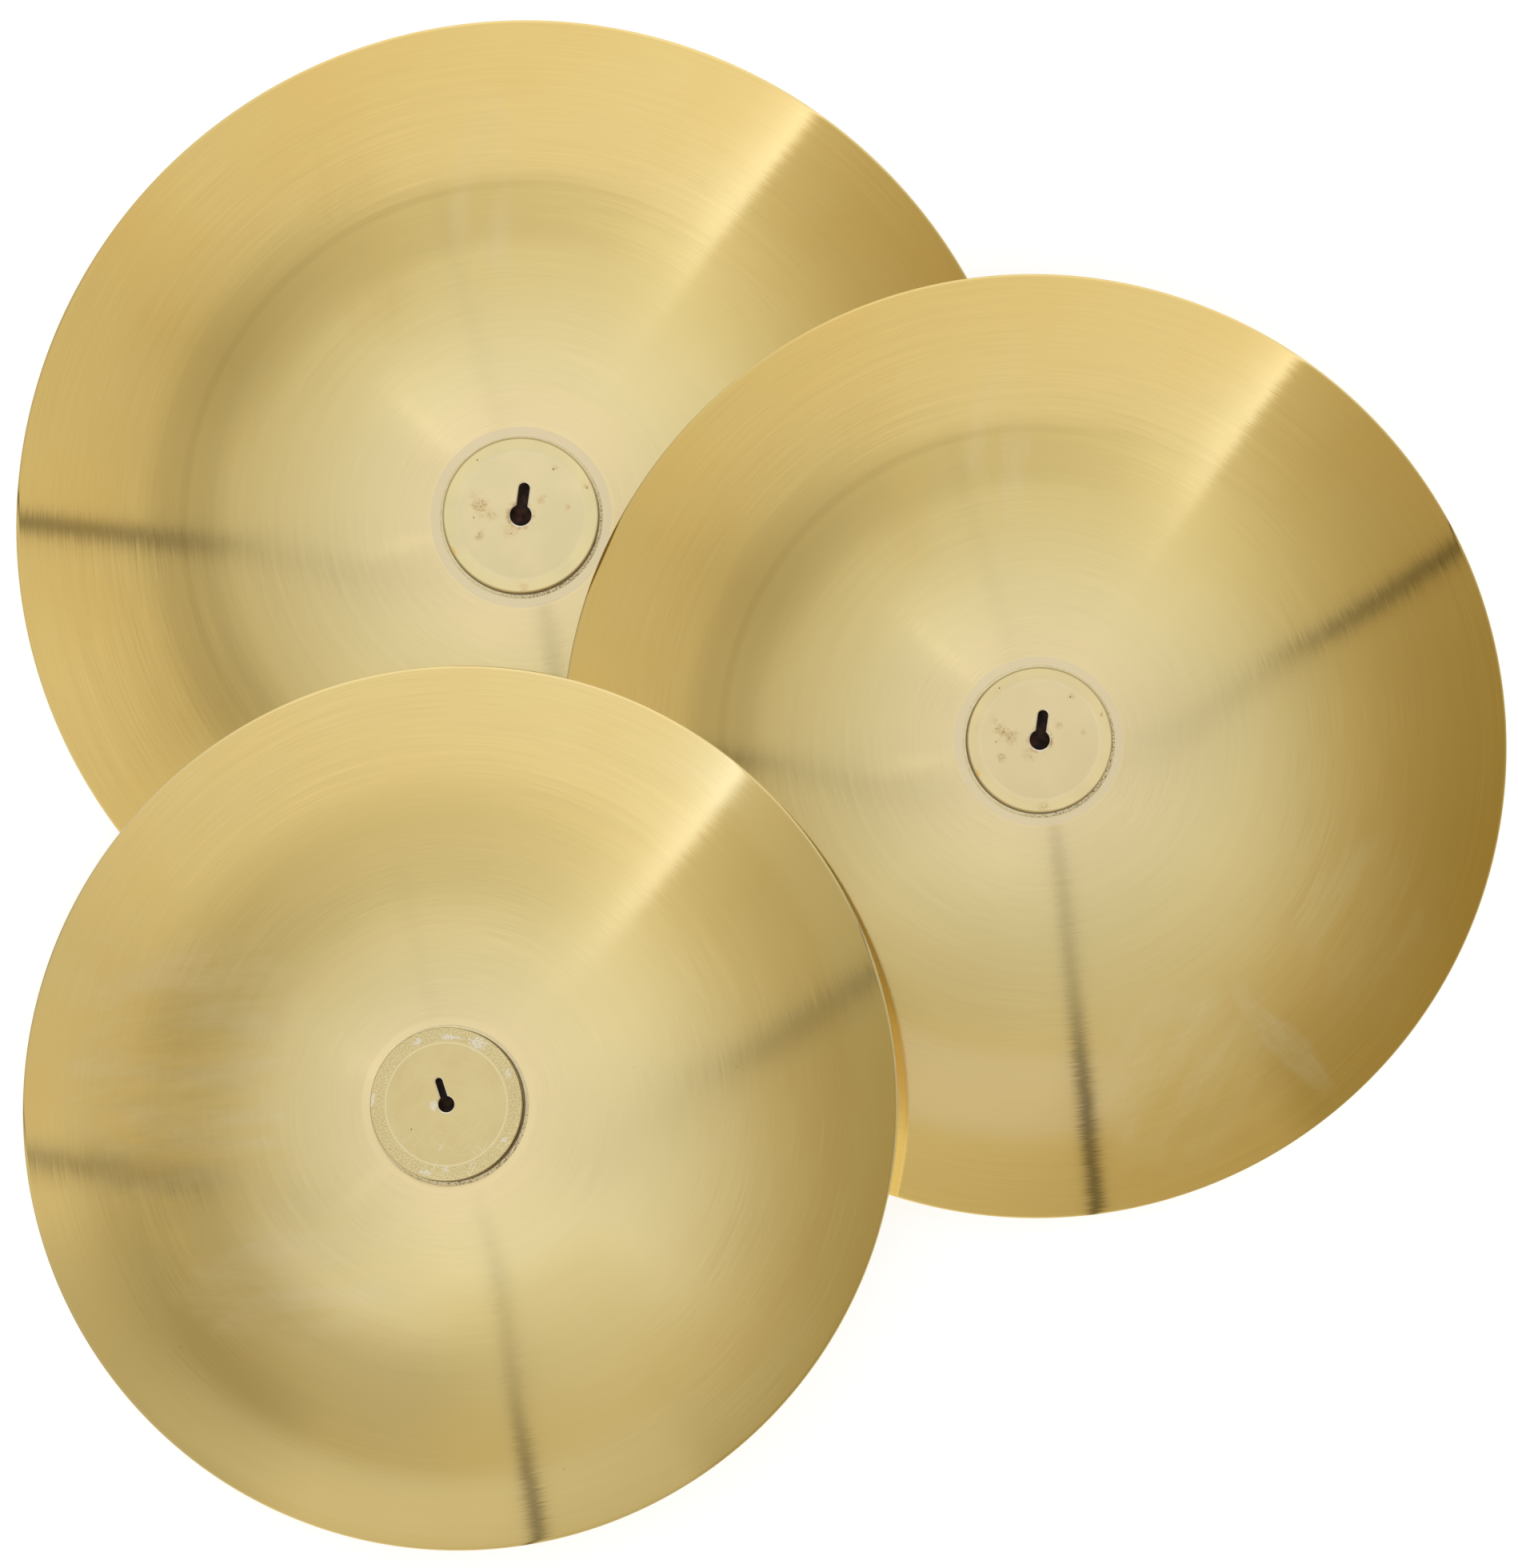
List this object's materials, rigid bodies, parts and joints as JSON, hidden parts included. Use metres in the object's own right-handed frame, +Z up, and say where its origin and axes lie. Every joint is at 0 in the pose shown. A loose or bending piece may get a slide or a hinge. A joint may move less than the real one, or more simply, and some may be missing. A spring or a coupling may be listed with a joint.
{
  "type": "set of wall dishes",
  "caption": "Shallow domed brass wall dishes in an overlapping pile, rims down, each with a raised keyhole hanger plate on the crown of its back.",
  "frame": {"origin": "middle of the pile's bounding box, on the surface that it lies on", "axes": "+Z up, out of the backs of the dishes; +X from the large dish towards the medium one; +Y from the small dish towards the large one"},
  "size_m": [0.587, 0.6064, 0.062],
  "materials": {
    "brushed_shell": "lathe-brushed and clear lacquered, with fine circular grain",
    "hanger": "dull turned face with handling marks and a few rust-coloured specks",
    "spacer": "unpolished, tarnished",
    "braze": "rough filler bead with flux residue"
  },
  "bodies": {
    "large_dish": {"large_dish_shell": "brushed_shell", "large_spacer_ring": "spacer", "large_brazed_bead": "braze", "large_hanger_plate": "hanger"},
    "medium_dish": {"medium_dish_shell": "brushed_shell", "medium_spacer_ring": "spacer", "medium_brazed_bead": "braze", "medium_hanger_plate": "hanger"},
    "small_dish": {"small_dish_shell": "brushed_shell", "small_spacer_ring": "spacer", "small_brazed_bead": "braze", "small_hanger_plate": "hanger"}
  },
  "joints": [
    {"name": "medium_lift", "type": "slide", "parent": "large_dish", "child": "medium_dish", "axis": [0, 0, 1], "range_m": [0, 0.15]},
    {"name": "small_lift", "type": "slide", "parent": "medium_dish", "child": "small_dish", "axis": [0, 0, 1], "range_m": [0, 0.15]}
  ]
}
